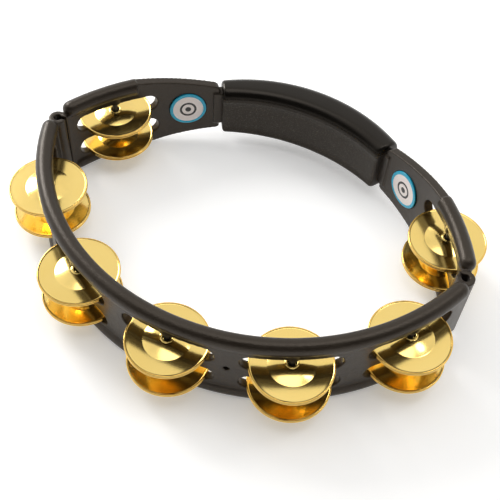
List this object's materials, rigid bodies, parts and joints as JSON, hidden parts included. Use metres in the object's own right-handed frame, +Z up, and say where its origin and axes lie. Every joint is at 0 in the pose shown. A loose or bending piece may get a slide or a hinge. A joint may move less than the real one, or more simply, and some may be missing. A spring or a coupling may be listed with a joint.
{
  "type": "tambourine",
  "caption": "Headless hand tambourine with a black moulded frame, rubber grip across the back and pairs of gold domed jingles.",
  "frame": {"origin": "middle of the bounding box in plan, on the plane the lower rim rests on", "axes": "+Z up through the ring, +Y from the front arc towards the grip, +X to the right seen from the front arc"},
  "size_m": [0.2862, 0.2386, 0.0582],
  "materials": {
    "moulding": "satin",
    "grip_rubber": "matte",
    "badge_plastic": "gloss",
    "pin_steel": "dark satin",
    "jingle_brass": "polished"
  },
  "bodies": {
    "frame_body": {"frame": "moulding", "grip": "grip_rubber", "badge_left": "badge_plastic", "badge_right": "badge_plastic", "pin_1": "pin_steel", "pin_2": "pin_steel", "pin_3": "pin_steel", "pin_4": "pin_steel", "pin_5": "pin_steel", "pin_6": "pin_steel", "pin_7": "pin_steel"},
    "jingle_1_upper_bottom": {"jingle_1_upper_bottom": "jingle_brass"},
    "jingle_1_upper_top": {"jingle_1_upper_top": "jingle_brass"},
    "jingle_1_lower_bottom": {"jingle_1_lower_bottom": "jingle_brass"},
    "jingle_1_lower_top": {"jingle_1_lower_top": "jingle_brass"},
    "jingle_2_upper_bottom": {"jingle_2_upper_bottom": "jingle_brass"},
    "jingle_2_upper_top": {"jingle_2_upper_top": "jingle_brass"},
    "jingle_2_lower_bottom": {"jingle_2_lower_bottom": "jingle_brass"},
    "jingle_2_lower_top": {"jingle_2_lower_top": "jingle_brass"},
    "jingle_3_upper_bottom": {"jingle_3_upper_bottom": "jingle_brass"},
    "jingle_3_upper_top": {"jingle_3_upper_top": "jingle_brass"},
    "jingle_3_lower_bottom": {"jingle_3_lower_bottom": "jingle_brass"},
    "jingle_3_lower_top": {"jingle_3_lower_top": "jingle_brass"},
    "jingle_4_upper_bottom": {"jingle_4_upper_bottom": "jingle_brass"},
    "jingle_4_upper_top": {"jingle_4_upper_top": "jingle_brass"},
    "jingle_4_lower_bottom": {"jingle_4_lower_bottom": "jingle_brass"},
    "jingle_4_lower_top": {"jingle_4_lower_top": "jingle_brass"},
    "jingle_5_upper_bottom": {"jingle_5_upper_bottom": "jingle_brass"},
    "jingle_5_upper_top": {"jingle_5_upper_top": "jingle_brass"},
    "jingle_5_lower_bottom": {"jingle_5_lower_bottom": "jingle_brass"},
    "jingle_5_lower_top": {"jingle_5_lower_top": "jingle_brass"},
    "jingle_6_upper_bottom": {"jingle_6_upper_bottom": "jingle_brass"},
    "jingle_6_upper_top": {"jingle_6_upper_top": "jingle_brass"},
    "jingle_6_lower_bottom": {"jingle_6_lower_bottom": "jingle_brass"},
    "jingle_6_lower_top": {"jingle_6_lower_top": "jingle_brass"},
    "jingle_7_upper_bottom": {"jingle_7_upper_bottom": "jingle_brass"},
    "jingle_7_upper_top": {"jingle_7_upper_top": "jingle_brass"},
    "jingle_7_lower_bottom": {"jingle_7_lower_bottom": "jingle_brass"},
    "jingle_7_lower_top": {"jingle_7_lower_top": "jingle_brass"}
  },
  "joints": [
    {"name": "jingle_1_upper_bottom_slide", "type": "slide", "parent": "frame_body", "child": "jingle_1_upper_bottom", "axis": [0, 0, 1], "range_m": [0, 0.003]},
    {"name": "jingle_1_upper_top_slide", "type": "slide", "parent": "jingle_1_upper_bottom", "child": "jingle_1_upper_top", "axis": [0, 0, 1], "range_m": [0, 0.003]},
    {"name": "jingle_1_lower_bottom_slide", "type": "slide", "parent": "frame_body", "child": "jingle_1_lower_bottom", "axis": [0, 0, 1], "range_m": [0, 0.003]},
    {"name": "jingle_1_lower_top_slide", "type": "slide", "parent": "jingle_1_lower_bottom", "child": "jingle_1_lower_top", "axis": [0, 0, 1], "range_m": [0, 0.003]},
    {"name": "jingle_2_upper_bottom_slide", "type": "slide", "parent": "frame_body", "child": "jingle_2_upper_bottom", "axis": [0, 0, 1], "range_m": [0, 0.003]},
    {"name": "jingle_2_upper_top_slide", "type": "slide", "parent": "jingle_2_upper_bottom", "child": "jingle_2_upper_top", "axis": [0, 0, 1], "range_m": [0, 0.003]},
    {"name": "jingle_2_lower_bottom_slide", "type": "slide", "parent": "frame_body", "child": "jingle_2_lower_bottom", "axis": [0, 0, 1], "range_m": [0, 0.003]},
    {"name": "jingle_2_lower_top_slide", "type": "slide", "parent": "jingle_2_lower_bottom", "child": "jingle_2_lower_top", "axis": [0, 0, 1], "range_m": [0, 0.003]},
    {"name": "jingle_3_upper_bottom_slide", "type": "slide", "parent": "frame_body", "child": "jingle_3_upper_bottom", "axis": [0, 0, 1], "range_m": [0, 0.003]},
    {"name": "jingle_3_upper_top_slide", "type": "slide", "parent": "jingle_3_upper_bottom", "child": "jingle_3_upper_top", "axis": [0, 0, 1], "range_m": [0, 0.003]},
    {"name": "jingle_3_lower_bottom_slide", "type": "slide", "parent": "frame_body", "child": "jingle_3_lower_bottom", "axis": [0, 0, 1], "range_m": [0, 0.003]},
    {"name": "jingle_3_lower_top_slide", "type": "slide", "parent": "jingle_3_lower_bottom", "child": "jingle_3_lower_top", "axis": [0, 0, 1], "range_m": [0, 0.003]},
    {"name": "jingle_4_upper_bottom_slide", "type": "slide", "parent": "frame_body", "child": "jingle_4_upper_bottom", "axis": [0, 0, 1], "range_m": [0, 0.003]},
    {"name": "jingle_4_upper_top_slide", "type": "slide", "parent": "jingle_4_upper_bottom", "child": "jingle_4_upper_top", "axis": [0, 0, 1], "range_m": [0, 0.003]},
    {"name": "jingle_4_lower_bottom_slide", "type": "slide", "parent": "frame_body", "child": "jingle_4_lower_bottom", "axis": [0, 0, 1], "range_m": [0, 0.003]},
    {"name": "jingle_4_lower_top_slide", "type": "slide", "parent": "jingle_4_lower_bottom", "child": "jingle_4_lower_top", "axis": [0, 0, 1], "range_m": [0, 0.003]},
    {"name": "jingle_5_upper_bottom_slide", "type": "slide", "parent": "frame_body", "child": "jingle_5_upper_bottom", "axis": [0, 0, 1], "range_m": [0, 0.003]},
    {"name": "jingle_5_upper_top_slide", "type": "slide", "parent": "jingle_5_upper_bottom", "child": "jingle_5_upper_top", "axis": [0, 0, 1], "range_m": [0, 0.003]},
    {"name": "jingle_5_lower_bottom_slide", "type": "slide", "parent": "frame_body", "child": "jingle_5_lower_bottom", "axis": [0, 0, 1], "range_m": [0, 0.003]},
    {"name": "jingle_5_lower_top_slide", "type": "slide", "parent": "jingle_5_lower_bottom", "child": "jingle_5_lower_top", "axis": [0, 0, 1], "range_m": [0, 0.003]},
    {"name": "jingle_6_upper_bottom_slide", "type": "slide", "parent": "frame_body", "child": "jingle_6_upper_bottom", "axis": [0, 0, 1], "range_m": [0, 0.003]},
    {"name": "jingle_6_upper_top_slide", "type": "slide", "parent": "jingle_6_upper_bottom", "child": "jingle_6_upper_top", "axis": [0, 0, 1], "range_m": [0, 0.003]},
    {"name": "jingle_6_lower_bottom_slide", "type": "slide", "parent": "frame_body", "child": "jingle_6_lower_bottom", "axis": [0, 0, 1], "range_m": [0, 0.003]},
    {"name": "jingle_6_lower_top_slide", "type": "slide", "parent": "jingle_6_lower_bottom", "child": "jingle_6_lower_top", "axis": [0, 0, 1], "range_m": [0, 0.003]},
    {"name": "jingle_7_upper_bottom_slide", "type": "slide", "parent": "frame_body", "child": "jingle_7_upper_bottom", "axis": [0, 0, 1], "range_m": [0, 0.003]},
    {"name": "jingle_7_upper_top_slide", "type": "slide", "parent": "jingle_7_upper_bottom", "child": "jingle_7_upper_top", "axis": [0, 0, 1], "range_m": [0, 0.003]},
    {"name": "jingle_7_lower_bottom_slide", "type": "slide", "parent": "frame_body", "child": "jingle_7_lower_bottom", "axis": [0, 0, 1], "range_m": [0, 0.003]},
    {"name": "jingle_7_lower_top_slide", "type": "slide", "parent": "jingle_7_lower_bottom", "child": "jingle_7_lower_top", "axis": [0, 0, 1], "range_m": [0, 0.003]}
  ]
}
